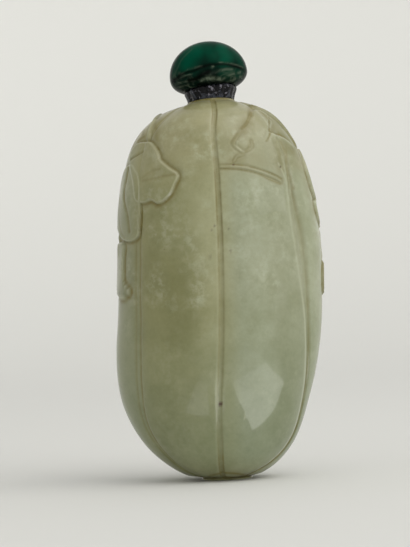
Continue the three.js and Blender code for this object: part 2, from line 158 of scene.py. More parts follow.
# Raised stems: radius, how far they rise, how brown they are, and the places that they run
# through.
STEMS = {
    "branch_left": (0.42, 0.3, 0.0, ((-90, 62.9), (-74, 62), (-65.5, 60.9), (-59.3, 59.6),
                                     (-54, 57.6))),
    "bud_stem_left": (0.42, 0.2, 0.2, ((-84, 44), (-82, 41), (-81, 39))),
    "branch_right": (0.5, 0.35, 0.3, ((62, 63.6), (74, 62.1), (84, 59.5), (92, 56))),
    "vine_front": (0.26, 0.09, 0.0, ((4, 53.1), (10.8, 53.05), (19.6, 52.7), (28.5, 52),
                                     (37, 51.1), (44, 50.3))),
    "tendril": (0.24, 0.05, 0.3, ((62, 63.6), (39.5, 62.2), (29.5, 60.4), (23.5, 59.4),
                                  (16.5, 57.7), (14.3, 56.9), (15.8, 56.2), (18, 55.7),
                                  (19.5, 55.1), (15.2, 54.7), (12.8, 54))),
    "tendril_curl": (0.16, 0.04, 0.2, ((28, 57.2), (27.2, 56.2), (22.8, 55.6), (19, 55.3))),
    "bud_stem_right": (0.42, 0.35, 0.2, ((96, 42.5), (98, 39.5), (95, 36))),
    "branch_back": (0.5, 0.35, 0.2, ((128, 63.6), (136, 61.3), (146, 57.5))),
    "vine_back": (0.36, 0.25, 0.3, ((156, 50), (166, 48.2), (178, 48.6))),
}
# Cut veins: half-width, depth, how brown they are, and places.
VEINS = (
    (1.0, 0.16, 0.0, ((-23.5, 52.1), (-33, 52.0), (-45, 51.6), (-56, 51.6))),
    (0.26, 0.12, 0.5, ((-23.5, 52.2), (-33, 52.0), (-45, 51.6), (-54, 51.6))),
    (0.22, 0.10, 0.35, ((-36, 53.2), (-44, 52.8), (-54, 51.9))),
    (0.18, 0.18, 0.9, ((-69, 55.3), (-66, 55.6), (-59, 56.2), (-55, 56.6))),
    (0.3, 0.05, 0.0, ((-54, 51.6), (-47, 49.8), (-40, 48.6))),
    (0.26, 0.2, 1.0, ((-71.5, 53.9), (-72.7, 51.9), (-74, 50.2), (-72, 48.5), (-68.3, 47),
                       (-65.8, 45.9), (-63.4, 43.7), (-62, 42.5))),
    (0.2, 0.1, 0.4, ((-83.7, 48.6), (-80.5, 45.9), (-74.3, 43.1), (-66.7, 41.7))),
    (0.22, 0.1, 0.3, ((96, 56), (96, 51), (95, 47.5))),
    (0.22, 0.1, 0.3, ((96, 52), (86, 49.5))),
    (0.22, 0.1, 0.3, ((96, 46), (97, 42.5))),
    (0.25, 0.12, 0.3, ((150, 57), (154, 53.5), (158, 49.6))),
    (0.22, 0.1, 0.3, ((154, 53.5), (142, 52))),
    (0.22, 0.1, 0.3, ((154, 53.5), (166, 53))),
)
# Brown lines and patches in the stone, some of them painted shade: half-width, strength, and
# places.
PATCHES = (
    (0.75, 0.5, ((-62, 61.9), (-55.2, 60.5), (-47.5, 59.1), (-41, 57.2), (-37, 56.2))),
    (0.5, 0.75, ((-65.5, 61.7), (-56, 60.6))),
    (0.45, 0.8, ((-74.8, 60.2), (-64.5, 59.0))),
    (0.6, 1.0, ((70, 63.7), (60, 63.5), (50, 63.2), (39.5, 62.2), (29.5, 60.4), (23.5, 59.4))),
    (1.1, 0.7, ((31, 60.6), (24, 59.2))),
    (0.5, 0.6, ((23.5, 59.4), (16.5, 57.7), (14.3, 56.9))),
    (0.6, 0.6, ((62, 63.7), (48, 63.0))),
    (0.4, 0.4, ((17.5, 58.2), (14.5, 57), (16, 55.9))),
    (0.9, 0.3, ((14, 56.5), (19, 55), (13, 53.8))),
    (0.4, 0.5, ((28, 57.2), (22.8, 55.6), (19, 55.3))),
    (0.25, 0.7, ((60.5, 56.2), (55.5, 54.1), (54, 50.7), (55.2, 49.2))),
    (1.2, 0.45, ((56.5, 62.6), (62, 61), (60, 59.6))),
    (1.6, 0.35, ((64, 61.3), (66, 60), (62, 59.3))),
    (1.5, 0.5, ((52, 56.5), (48, 54.5), (46, 52.5))),
    (0.5, 0.7, ((57, 57.3), (56.5, 55), (53, 52), (52, 49.5))),
    (0.9, 0.45, ((72, 56.3), (67, 55.6), (62, 56.4))),
    (1.0, 0.15, ((20, 56.8), (30, 54.2), (40, 52.4))),
    (0.22, 0.9, ((60.8, 61.0), (54, 59.9), (47.0, 58.2), (41.0, 57.2))),
    (0.2, 0.85, ((49, 58.9), (53, 59.1), (59.3, 58.75), (67, 58.05), (76, 56.9))),
    (0.2, 0.8, ((10.5, 53.5), (19.8, 53.1), (29.2, 52.4), (39.2, 51.5), (44.8, 50.8))),
    (0.2, 0.85, ((0.8, 52.9), (10.8, 52.7), (19.5, 52.25), (27.8, 51.6), (34.8, 50.6),
                 (42.2, 49.9))),
    (0.3, 0.45, ((61, 56.6), (59.8, 56), (55.5, 54.1))),
    (0.35, 0.6, ((61.3, 64.2), (74.2, 63.8), (84, 62), (88, 59.2), (88.5, 57.1))),
    (0.4, 0.4, ((-53, 47.2), (-51.8, 44), (-52.5, 41.8), (-60, 40.8))),
    (0.36, 1.0, ((-28, 0.7), (-18, 1.15), (-6, 1.3), (5.5, 1.4), (17.5, 1.3), (34.5, 0.75),
                 (44, 0.55))),
    (0.6, 1.0, ((-66, 59.2), (-72, 58.6))),
    (0.45, 1.0, ((-84, 62.1), (-85, 61), (-82, 58.9), (-78, 57.2))),
    # Painted shade: the dark, shaded side leaves and bud on the right, and the shaded left edge of
    # the upper side leaf.
    (1.5, 1.0, ((94, 55.2), (92, 51.5), (93, 48.5))),
    (1.2, 0.9, ((92, 46), (92, 44))),
    (1.8, 0.95, ((91, 36), (91, 32))),
    (0.35, 0.9, ((86, 57.2), (81, 56.4), (78, 53.8), (76.5, 51.4), (77, 49))),
    (0.9, 0.35, ((75, 54), (74, 51), (73, 48.5), (76, 45.5))),
    (0.3, 0.7, ((76.8, 47), (77.6, 45.6), (79, 43.8))),
    (0.4, 0.5, ((20, 64.2), (60, 64.2))),
)
# Ridges with a painted highlight along them: half-width, rise, how bright the painted highlight
# is, and places.
RIDGES = (
    (0.2, 0.08, 0.8, ((57.5, 63.1), (61.3, 62.2), (62.5, 61), (58, 60.1))),
    (0.22, 0.06, 0.7, ((52, 58.4), (59.3, 58), (66, 57.2), (72, 56.2))),
    (0.22, 0.08, 0.9, ((45, 53.35), (45.2, 53.1))),
    (0.16, 0.06, 1.5, ((17.2, 11.4), (17.5, 11.1))),
    (0.22, 0.05, 0.8, ((46.5, 52.4), (48.2, 50.8))),
    (0.3, 0.05, 0.6, ((-70, 62), (-63, 60.5), (-57.5, 59))),
    (0.16, 0.04, 0.6, ((17.5, 57.3), (16.5, 56.6), (17.5, 56.1), (20, 55.6))),
)
# Cloudy pale places in the stone: half-width, strength, and places.
CLOUDS = (
    (1.3, 0.8, ((-10.8, 56.2), (-10, 55.2))),
    (1.5, 0.7, ((-3, 58), (-2.4, 55.5))),
    (1.6, 0.7, ((-11.5, 33.1), (-12.5, 31.1))),
    (1.3, 0.6, ((-9.2, 32.4), (-7, 34.5))),
    (2.4, 0.6, ((16.5, 48.2), (20, 46.5), (25, 49))),
    (1.8, 0.7, ((23.2, 35.6), (28, 33.5))),
    (1.5, 0.6, ((15, 42.4), (19, 43.4))),
    (2.2, 0.5, ((4.4, 57.7), (9, 55.8))),
    (2.0, 0.5, ((-16, 41), (-12, 37))),
    (2.5, 0.4, ((34, 44), (38, 38))),
)
# Small natural pits and dark specks in the stone: theta, z, radius, darkness.
PITS = (
    (2.2, 13.4, 0.3, 1.0), (-16.1, 11.3, 0.16, 0.5), (-2.5, 43.3, 0.2, 0.5),
    (-4.1, 42.6, 0.15, 0.4), (5.4, 42.7, 0.16, 0.45), (-5.6, 38, 0.18, 0.45),
    (5.9, 39, 0.22, 0.4), (12, 53.4, 0.18, 0.7), (46.3, 52.85, 0.15, 0.9),
    (-77, 32.5, 0.22, 0.6), (-32.7, 39.7, 0.12, 0.3),
)

PIT_DEPTH = 0.12
WAVE = 0.03                                  # each of the two waves that make the skin uneven

# ------------------------------------------------------------------ the stopper
STOPPER_TILT = math.radians(4.9)
SEAT_GAP = 0.05
COLLAR_HEIGHT = 2.2
COLLAR_FLUTES = 16
DOME_RADIUS, DOME_HEIGHT = 6.7, 5.7
DOME_UNDER, DOME_UNDER_REACH = 2.42, 3.2
DOME_SEAT = (2.0, 3.6, 4.2)                  # the radii of the rings of its flat seat
# The collar's (radius, share of its height) places, from its foot up.
COLLAR_OUTLINE = ((2.0, 0), (3.85, 0), (4.0, 0.04), (4.05, 0.2), (4.2, 0.45), (4.42, 0.68),
                  (4.5, 0.82), (4.46, 0.93), (4.3, 1.0), (2.0, 1.0))
CORK_TOP, CORK_FOOT, CORK_LENGTH = 2.95, 2.7, 5.0
DOME_LIFT = HEIGHT + COLLAR_HEIGHT + 2 * SEAT_GAP
# Marks in the dome's green, seen from the front: half-width, strength, and (x, height) places.
DOME_MARKS = {
    # Painted glow: brighter green over the girdle.
    "glow": (
        (2.2, 1.0, ((-3.81, 3.83), (-3.06, 5.32), (-2.34, 6.31))),
        (1.7, 0.85, ((2.24, 6.45), (2.86, 4.9), (2.49, 4.23))),
        (2.0, 0.6, ((-0.61, 7.08), (0.18, 5.86), (0.82, 4.98))),
        (1.2, 0.6, ((2.07, 2.39), (3.76, 2.31), (4.78, 2.27))),
        (1.3, 0.5, ((5.6, 3.8), (4.9, 5.2), (3.4, 6.8))),
        (1.3, 0.55, ((-5.7, 2.8), (-5.2, 4.4), (-3.8, 6.3))),
        (0.8, 0.35, ((-5.07, 2.02), (-3.71, 2.13), (-2.5, 2.59))),
    ),
    # Pale streaks low in the dome: partly inclusions, partly painted reflection of the pale things
    # below it.
    "streak": (
        (0.12, 0.8, ((1.46, 3.97), (2.98, 3.87), (4.49, 3.59), (5.66, 3.2))),
        (0.22, 0.6, ((0.02, 2.05), (1.4, 2.55), (2.77, 2.83), (3.78, 2.82))),
        (0.2, 0.7, ((1.84, 1.04), (3.06, 1.8), (4.44, 2.25), (5.46, 2.49))),
        (0.2, 0.6, ((2.67, 0.66), (3.71, 1.13), (4.92, 1.58), (5.79, 2.14))),
        (0.14, 0.7, ((-4.89, 2.35), (-3.84, 3.02), (-2.47, 3.31), (-1.28, 3.46))),
        (0.16, 0.8, ((-6.56, 0.98), (-5.29, 1.01), (-4.09, 1.13), (-2.56, 1.26))),
        (0.14, 0.6, ((-6.0, 0.28), (-4.8, 0.48), (-3.6, 0.68))),
        (0.12, 0.7, ((-5.08, 1.77), (-4.05, 2.14), (-3.03, 2.27))),
        (0.3, 1.3, ((-1.38, 1.09), (-0.52, 1.38), (0.67, 1.43), (1.68, 1.25))),
        (0.17, 1.6, ((0.4, 3.1), (0.55, 3.38))),
        (0.14, 0.14, ((-5.89, 2.73), (-4.6, 5.05), (-2.83, 6.67))),
    ),
    # Painted shade: dark lines along and under the girdle.
    "shade": (
        (0.3, 0.9, ((-6.37, 1.4), (-5.06, 2.27), (-3.86, 2.61), (-2.66, 2.8), (-1.28, 3.35),
                    (0.09, 3.69), (1.45, 3.69), (2.8, 3.68), (4.15, 3.45), (5.49, 3.08))),
        (0.45, 1.0, ((-3.58, 1.28), (-2.39, 1.39), (-1.34, 2.03), (-0.13, 2.48))),
        (0.3, 0.9, ((-2.08, 0.53), (-0.89, 0.65), (1.32, 0.81), (3.68, 0.53))),
        (0.3, 0.7, ((-6.11, 1.56), (-4.74, 1.83), (-3.38, 1.86))),
        (0.5, 0.5, ((1.4, 2.75), (0.68, 1.77))),
    ),
}


# ------------------------------------------------------------------ surface formulas
def smooth_step(low, high, x):
    """0 below low, 1 above high, and 3t^2 - 2t^3 in between."""
    t = np.clip((x - low) / (high - low), 0, 1)
    return t * t * (3 - 2 * t)


def bell(x, width):
    """A bump of height 1 at x = 0, which is exp(-(x / width)^2)."""
    return np.exp(-((x / width) ** 2))


def angle_between(theta, other):
    """theta - other, brought between -pi and pi."""
    return (theta - other + math.pi) % TURN - math.pi


def angle_at_half_width(end, half_width):
    """The w where an end has narrowed to half_width: sin(w)^p = 1 - (half_width / a)^q."""
    sign, _, p, q, _, _ = end
    return sign * math.asin((1 - (half_width / HALF_WIDTH) ** q) ** (1 / p))


def angle_at_height(z):
    """The w of a height: z = widest + sign * reach * sin|w|."""
    z = np.asarray(z, float)
    reach = np.where(z >= WIDEST, SHOULDER[1], BELLY[1])
    return np.sign(z - WIDEST) * np.arcsin(np.clip(np.abs(z - WIDEST) / reach, 0, 1))


def profile(w):
    """Height, half-width and half-depth at w.

    With s = sin|w|: z = widest + sign * reach * s, and half-width = a * (1 - s^p)^(1/q). The
    depth is the half-width times a ratio that goes to the end's roundness with s^6.
    """
    s = np.sin(np.abs(w))
    z, wide, deep = np.zeros((3,) + np.shape(w))
    for sign, reach, p, q, roundness, _ in (SHOULDER, BELLY):
        here = (w >= 0) == (sign > 0)
        width = HALF_WIDTH * np.clip(1 - s ** p, 0, 1) ** (1 / q)
        slimness = HALF_DEPTH / HALF_WIDTH
        z = np.where(here, WIDEST + sign * reach * s, z)
        wide = np.where(here, width, wide)
        deep = np.where(here, width * (slimness + (roundness - slimness) * s ** 6), deep)
    return z, wide, deep


def smooth_point(theta, w):
    """The form without ribs: x = bow(z) + width sin(theta), y = -depth cos(theta), z."""
    z, wide, deep = profile(w)
    bow = sum(by * bell(z - at, over) for at, by, over in BOWS)
    return np.stack([bow + wide * np.sin(theta), -deep * np.cos(theta), z], axis=-1)


def outward(theta, w):
    """The form's unit normal: the cross product of its steps round and up."""
    e = 1e-3
    across = smooth_point(theta + e, w) - smooth_point(theta - e, w)
    up = smooth_point(theta, w + e) - smooth_point(theta, w - e)
    normal = np.cross(across, up)
    return normal / np.linalg.norm(normal, axis=-1, keepdims=True)


def mouth_lift(x, y):
    """How far the mouth's slanted plane stands over its middle."""
    return MOUTH_SLOPE * x - MOUTH_LEAN * y


def along(table, z):
    """The value at each height from (height, value) rows, as a mean over up to 2.4 mm."""
    heights, values = np.array(table, float).T
    reach = np.minimum(1.2, 0.3 * z)[..., None] * np.linspace(-1, 1, 7)
    return np.interp(z[..., None] + reach, heights, values).mean(axis=-1)


def channel_place(channel, z, wide, deep):
    """A channel's angle at each height, its half-width in mm, and mm for each radian there."""
    middle = np.radians(along(channel["path"], z))
    return (middle, along(channel["width"], z) / 2,
            np.hypot(wide * np.cos(middle), deep * np.sin(middle)))


def rib_offset(theta, w, bulge):
    """How far the skin lies under the smooth form: bulge * (1 - sin(pi t)^0.8) across a rib."""
    z, wide, deep = profile(w)
    places = [channel_place(c, z, wide, deep)[0] for c in CHANNELS.values()]
    at = (theta - places[0]) % TURN
    share = np.zeros_like(at)
    for k, start in enumerate(places):
        low = start - places[0]
        high = places[k + 1] - places[0] if k + 1 < len(places) else low * 0 + TURN
        inside = (at >= low) & (at < high)
        share = np.where(inside, (at - low) / (high - low), share)
    crest = np.clip(np.sin(np.pi * share), 0, 1) ** 0.8
    return -bulge * (wide / HALF_WIDTH) * (1 - crest)


def smooth_line(places, count, closed=False):
    """A Catmull-Rom line of count points through (theta, z) places."""
    knots = np.array(places, float)
    if closed:
        knots = np.vstack([knots[-1], knots, knots[:2]])
    else:
        knots = np.vstack([2 * knots[0] - knots[1], knots, 2 * knots[-1] - knots[-2]])
    spans = len(knots) - 3
    t = np.linspace(0, spans, count)
    i = np.minimum(t.astype(int), spans - 1)
    f = (t - i)[:, None]
    a, b, c, d = (knots[i + k] for k in range(4))
    return 0.5 * (2 * b + (c - a) * f + (2 * a - 5 * b + 4 * c - d) * f ** 2
                  + (3 * b - a - 3 * c + d) * f ** 3)


def on_skin(line, bulge):
    """The points of the ribbed skin at (theta, z) places."""
    theta, w = np.radians(line[:, 0]), angle_at_height(line[:, 1])
    return smooth_point(theta, w) + outward(theta, w) * rib_offset(theta, w, bulge)[:, None]


def nearest_on_path(points, path):
    """Each point's distance to a line of points, and how far along the line it is, 0 to 1."""
    best = np.full(points.shape[:-1], np.inf)
    share = np.zeros_like(best)
    for k, (a, b) in enumerate(zip(path[:-1], path[1:])):
        step = b - a
        f = np.clip(((points - a) @ step) / (step @ step), 0, 1)
        gap = np.linalg.norm(points - a - f[..., None] * step, axis=-1)
        nearer = gap < best
        best = np.where(nearer, gap, best)
        share = np.where(nearer, (k + f) / (len(path) - 1), share)
    return best, share


def gap_to_line(points, places, count, bulge):
    """nearest_on_path for a smooth line of count points on the skin, through places."""
    return nearest_on_path(points, on_skin(smooth_line(places, count), bulge))


def inside_leaf(theta, z, points, places, bulge):
    """How far inside a leaf's closed outline each point is, in mm, and below 0 outside it.

    The size is the distance to the nearest place on the outline. A point is inside where a
    line from it towards smaller theta crosses the outline an odd number of times.
    """
    line = smooth_line(places, 6 * len(places) + 1, closed=True)
    edge = on_skin(line, bulge)
    centre = edge.mean(axis=0)
    reach = np.linalg.norm(edge - centre, axis=1).max() + 3
    near = np.linalg.norm(points - centre, axis=-1) < reach
    gap, _ = nearest_on_path(points[near], edge)
    middle = line[:, 0].mean()
    x, y = np.degrees(angle_between(theta[near], math.radians(middle))) + middle, z[near]
    inside = np.zeros(len(x), bool)
    for (x0, y0), (x1, y1) in zip(line[:-1], line[1:]):
        if y0 != y1:
            inside ^= ((y0 > y) != (y1 > y)) & (x < (x1 - x0) * (y - y0) / (y1 - y0) + x0)
    depth = np.full(theta.shape, -99.0)
    depth[near] = np.where(inside, gap, -gap)
    return depth


# ------------------------------------------------------------------ meshes
def wrap_quads(rows, columns, start=0):
    """Faces of a grid of rows that close on themselves, from the vertex number start."""
    r = np.arange(rows - 1)[:, None] * columns + start
    c = np.arange(columns)[None, :]
    n = (c + 1) % columns
    return np.stack([r + c, r + n, r + columns + n, r + columns + c], axis=-1).reshape(-1, 4)


def fan(centre, ring, upward):
    """Triangles that close a ring of vertex numbers to one centre vertex."""
    nxt = np.roll(ring, -1)
    pair = (ring, nxt) if upward else (nxt, ring)
    return np.stack([*pair, np.full(len(ring), centre)], axis=-1)


def mesh_object(name, points, faces, attributes=None, sharp=math.radians(40)):
    """A smooth-shaded object at the origin from points in mm, faces and vertex values."""
    mesh = bpy.data.meshes.new(name)
    mesh.from_pydata((np.asarray(points) * MM).tolist(), [], faces)
    for key, values in (attributes or {}).items():
        layer = mesh.attributes.new(key, "FLOAT", "POINT")
        layer.data.foreach_set("value", np.asarray(values, np.float32))
    mesh.shade_smooth()
    if sharp:
        mesh.set_sharp_from_angle(angle=sharp)
    mesh.validate()
    mesh.update()
    piece = bpy.data.objects.new(name, mesh)
    bpy.context.scene.collection.objects.link(piece)
    return piece


def turned_piece(name, outline, columns, shape=None, attributes=None):
    """A closed round solid: the outline's (radius, z) points carried round the axis.

    shape, if given, moves the whole grid of points, with theta as its second argument, and
    attributes works out the vertex values from the points.
    """
    theta = np.arange(columns) * TURN / columns
    radius, z = np.array(outline, float).T
    grid = np.stack([radius[:, None] * np.sin(theta), -radius[:, None] * np.cos(theta),
                     z[:, None] + 0 * theta], axis=-1)
    if shape:
        grid = shape(grid, theta)
    rows = len(outline)
    ends = [grid[0].mean(axis=0), grid[-1].mean(axis=0)]
    points = np.vstack([grid.reshape(-1, 3), ends])
    count = rows * columns
    ring = np.arange(columns)
    faces = [*wrap_quads(rows, columns).tolist(),
             *fan(count, ring, False).tolist(),
             *fan(count + 1, ring + count - columns, True).tolist()]
    values = attributes(points) if attributes else None
    return mesh_object(name, points, faces, values)


# ------------------------------------------------------------------ finishes
PIT_COLOUR = (0.07, 0.028, 0.014)
DOME_SHADE_COLOUR = (0.0015, 0.003, 0.002)
COLLAR_SPECK_COLOUR = (0.17, 0.165, 0.2)
CORK_PORE_COLOUR = (0.08, 0.04, 0.02)


class Finish:
    """A Principled material whose nodes are added one line at a time."""

    def __init__(self, name, **values):
        self.material = bpy.data.materials.new(name)
        self.material.use_nodes = True
        self.tree = self.material.node_tree
        self.shader = self.tree.nodes["Principled BSDF"]
        self.place = self.add("ShaderNodeTexCoord").outputs["Object"]
        for socket, value in values.items():
            self.shader.inputs[socket.replace("_", " ").title().replace("Ior", "IOR")] \
                .default_value = value

    def add(self, kind, settings=None, **inputs):
        """A node with its settings, and its inputs by name: a value, or a socket to link."""
        node = self.tree.nodes.new(kind)
        for key, value in (settings or {}).items():
            setattr(node, key, value)
        for key, value in inputs.items():
            self.join(value, node.inputs[int(key[1:]) if key[0] == "i" and key[1:].isdigit()
                                         else key])
        return node

    def join(self, value, socket):
        """Links a socket's output to an input, or sets the input to a plain value."""
        if isinstance(value, bpy.types.NodeSocket):
            self.tree.links.new(value, socket)
        else:
            socket.default_value = value

    def noise(self, scale, detail=3.0, roughness=0.55, distortion=0.0, place=None):
        """Cloudy noise from 0 to 1. scale is in features to the metre."""
        node = self.add("ShaderNodeTexNoise", Vector=place or self.place, Scale=scale,
                        Detail=detail, Roughness=roughness, Distortion=distortion)
        return node.outputs["Fac"]

    def attribute(self, name):
        """A value carried by the mesh's own vertices."""
        return self.add("ShaderNodeAttribute", {"attribute_name": name}).outputs["Fac"]

    def sum(self, operation, a, b, clamp=False):
        """One piece of arithmetic on two values."""
        return self.add("ShaderNodeMath", {"operation": operation, "use_clamp": clamp},
                        i0=a, i1=b).outputs[0]

    def times(self, a, b, clamp=False):
        """The product of two values."""
        return self.sum("MULTIPLY", a, b, clamp)

    def spread(self, value, low, high, to_low=0.0, to_high=1.0):
        """Maps low..high to to_low..to_high with soft ends."""
        node = self.add("ShaderNodeMapRange", {"interpolation_type": "SMOOTHSTEP"})
        for key, given in zip(("Value", "From Min", "From Max", "To Min", "To Max"),
                              (value, low, high, to_low, to_high)):
            self.join(given, node.inputs[key])
        return node.outputs["Result"]

    def spread_mm(self, value, low, high, to_low=0.0, to_high=1.0):
        """The same for a length, with low and high in mm."""
        return self.spread(value, low * MM, high * MM, to_low, to_high)

    def mix(self, share, a, b, blend="MIX"):
        """Two colours blended by a share."""
        node = self.add("ShaderNodeMix", {"data_type": "RGBA", "blend_type": blend})
        for index, given in zip((0, 6, 7), (share, a, b)):
            if not isinstance(given, (bpy.types.NodeSocket, float, int)):
                given = (*given, 1.0)[:4]
            self.join(given, node.inputs[index])
        return node.outputs[2]

    def finish(self, colour, roughness=None, height=None, bump=0.3, distance=0.1 * MM):
        """Links the colour, the roughness and a bump to the shader."""
        self.join(colour, self.shader.inputs["Base Color"])
        if roughness is not None:
            self.join(roughness, self.shader.inputs["Roughness"])
        if height is not None:
            node = self.add("ShaderNodeBump", Strength=bump, Distance=distance, Height=height)
            self.join(node.outputs["Normal"], self.shader.inputs["Normal"])
        return self.material


def jade_finish(look):
    """Polished hardstone: grey-green clouded with olive and pale flecks, brown in the cuts, with
    painted shade and painted highlights.
    """
    jade = Finish("jade", ior=1.55, subsurface_weight=0.1, subsurface_scale=0.9 * MM,
                  subsurface_radius=(1.0, 0.95, 0.6), specular_ior_level=0.2,
                  coat_weight=0.6, coat_roughness=0.06)
    xyz = jade.add("ShaderNodeSeparateXYZ", Vector=jade.place)
    across, height = xyz.outputs["X"], xyz.outputs["Z"]
    clouds = jade.noise(130, detail=5, roughness=0.6)
    drift = jade.noise(45, detail=2)
    # Olive on the left, partly the stone's own tone and partly painted shade, pale past a border
    # that wanders by 4 mm, and cool on the right.
    sway = jade.sum("ADD", across, jade.spread(drift, 0.2, 0.8, -4 * MM, 4 * MM))
    tint = jade.mix(jade.spread_mm(sway, -11, 1), look.olive_and_shade, look.pale)
    tint = jade.mix(jade.spread_mm(across, 0.2, 4), tint, look.cool)
    # Warm over the vine on the right, and near the top on both sides.
    warm = jade.times(jade.spread_mm(height, 51.3, 53.3),
                      jade.spread_mm(across, 0.5, 2.5, 0.0, 0.8))
    warm = jade.sum("MAXIMUM", warm, jade.spread_mm(height, 48, 60))
    warm = jade.times(warm, jade.spread(drift, 0.2, 0.7, 0.45, 0.9), True)
    tint = jade.mix(warm, tint, look.warm)
    # Painted shade: greyer and darker at the far left, in a band on the right, and low down.
    tint = jade.mix(jade.spread_mm(across, -15.5, -12, 0.8, 0.0), tint, look.side)
    right_band_shade = jade.times(jade.spread_mm(across, 6.5, 10.5), jade.spread_mm(across, 16, 13, 0.0, 0.5))
    tint = jade.mix(right_band_shade, tint, look.side)
    tint = jade.mix(jade.spread_mm(height, 7, 32, 0.45, 0.0), tint, look.side)
    # Painted shade darkens the right shoulder and the left half's middle; warm by the foot.
    top = jade.times(jade.spread_mm(height, 46, 55), jade.spread_mm(across, 2, 8, 0.0, 0.8))
    tint = jade.mix(top, tint, look.shade, "MULTIPLY")
    tint = jade.mix(jade.spread_mm(height, 0.5, 5, 0.6, 0.0), tint, look.warm)
    left_middle_shade = jade.times(jade.spread_mm(height, 16, 30), jade.spread_mm(height, 54, 46))
    left_middle_shade = jade.times(left_middle_shade, jade.spread_mm(across, -1, -6, 0.0, 0.9))
    tint = jade.mix(left_middle_shade, tint, look.shade, "MULTIPLY")
    # Painted shade: the lower end is made darker.
    low = jade.spread_mm(height, 5, 38, 0.62, 0.0)
    tint = jade.mix(low, tint, look.deep, "MULTIPLY")
    # Clouds, then pale flecks where the stone is cloudy, then its fine grain.
    colour = jade.mix(jade.spread(clouds, 0.34, 0.62, 1.0, 0.0), tint, look.shade, "MULTIPLY")
    mottle = jade.noise(760, detail=5, roughness=0.62)
    places = jade.times(jade.spread(jade.noise(170, detail=3), 0.42, 0.68),
                        jade.spread_mm(height, 22, 36, 0.15, 0.5))
    places = jade.sum("MAXIMUM", places, jade.attribute("cloud"))
    flecks = jade.times(jade.spread(mottle, 0.43, 0.66, 0.12, 1.0), places, True)
    colour = jade.mix(jade.times(flecks, 0.65), colour, look.fleck_and_highlight)
    colour = jade.mix(jade.spread(mottle, 0.25, 0.5, 0.4, 0.0), colour, look.shade, "MULTIPLY")
    grain = jade.noise(1800, detail=3, roughness=0.7)
    colour = jade.mix(jade.spread(grain, 0.3, 0.7, 0.0, 0.35), colour, look.shade, "MULTIPLY")
    # The mesh's own values: pale edges that are partly painted highlight, brown stains that are in
    # places painted shade, and dark pits.
    colour = jade.mix(jade.times(jade.attribute("pale_edge_and_highlight"), 0.45), colour, look.fleck_and_highlight)
    stain_and_shade = jade.times(jade.attribute("stain_and_shade"),
                       jade.spread(jade.noise(500, detail=4), 0.34, 0.6, 0.55, 1.0), True)
    colour = jade.mix(stain_and_shade, colour, look.stain_and_shade)
    colour = jade.mix(jade.attribute("pit"), colour, PIT_COLOUR)
    rough = jade.sum("ADD", jade.spread(clouds, 0.3, 0.7, 0.30, 0.4), jade.times(stain_and_shade, 0.25))
    bumps = jade.sum("ADD", jade.noise(300, detail=3), jade.times(grain, 0.3))
    return jade.finish(colour, rough, bumps, bump=0.14, distance=0.12 * MM)


def dome_finish(look):
    """Dark green glassy stone: a painted glow over the girdle and at the top, grey streaks under
    it that are partly painted reflection, and painted shade along the girdle.
    """
    dome = Finish("green_dome", ior=1.3, specular_ior_level=0.04)
    height = dome.add("ShaderNodeSeparateXYZ", Vector=dome.place).outputs["Z"]
    swirl = dome.noise(420, detail=4, distortion=1.6)
    cloud = dome.noise(210, detail=2)
    # Painted glow: brighter green over the girdle and towards the top, in the colour.
    glow = dome.times(dome.attribute("glow"), dome.spread(cloud, 0.2, 0.7, 0.6, 1.0))
    painted_top_glow = dome.spread(height, DOME_LIFT * MM + 2 * MM, DOME_LIFT * MM + 7 * MM)
    glow = dome.sum("MAXIMUM", glow, dome.times(painted_top_glow, 0.35))
    colour = dome.mix(dome.spread(glow, 0.0, 1.0), look.dome_dark, look.dome_bright)
    # Partly painted reflection: pale wisps and streaks low in the dome.
    low = dome.sum("SUBTRACT", 1.0, dome.spread(height, DOME_LIFT * MM + 1.5 * MM,
                                               DOME_LIFT * MM + 3.4 * MM))
    wisps = dome.times(low, dome.spread(swirl, 0.5, 0.68, 0.0, 0.5), True)
    streak = dome.times(dome.attribute("streak"), dome.spread(swirl, 0.4, 0.58, 0.15, 1.0))
    streak = dome.sum("MAXIMUM", streak, wisps)
    colour = dome.mix(dome.times(streak, 0.9), colour, look.dome_streak)
    # Painted shade along the girdle.
    colour = dome.mix(dome.attribute("shade"), colour, DOME_SHADE_COLOUR)
    return dome.finish(colour, dome.spread(swirl, 0.3, 0.7, 0.12, 0.2), swirl, bump=0.08)


def collar_finish(look):
    """Near-black, glossy in patches and dull in others, with grey blotches."""
    collar = Finish("dark_collar", ior=1.5, specular_ior_level=0.16)
    blotch = collar.noise(560, detail=5, roughness=0.68, distortion=0.6)
    colour = collar.mix(collar.spread(blotch, 0.5, 0.6), look.collar_dark, look.collar_grey)
    specks = collar.noise(1500, detail=3)
    colour = collar.mix(collar.spread(specks, 0.57, 0.68), colour, COLLAR_SPECK_COLOUR)
    return collar.finish(colour, collar.spread(blotch, 0.35, 0.65, 0.12, 0.42), blotch, bump=0.7,
                         distance=0.25 * MM)


def cork_finish(look):
    """Pale brown cork with darker pores."""
    cork = Finish("cork")
    pores = cork.spread(cork.noise(1400, detail=4, roughness=0.7), 0.55, 0.68)
    tone = cork.mix(cork.noise(500), look.cork, tuple(0.8 * c for c in look.cork))
    return cork.finish(cork.mix(pores, tone, CORK_PORE_COLOUR), 0.85, pores, bump=0.6)


# ------------------------------------------------------------------ settings
def length(name, description, value):
    """A size that a user may change, given here in mm."""
    return FloatProperty(name=name, description=description, default=value * MM, min=0.0,
                         subtype="DISTANCE", unit="LENGTH", precision=5)


def colour(name, description, value):
    """A colour that a user may change, linear."""
    return FloatVectorProperty(name=name, description=description, default=value, size=3,
                               min=0.0, max=1.0, subtype="COLOR")


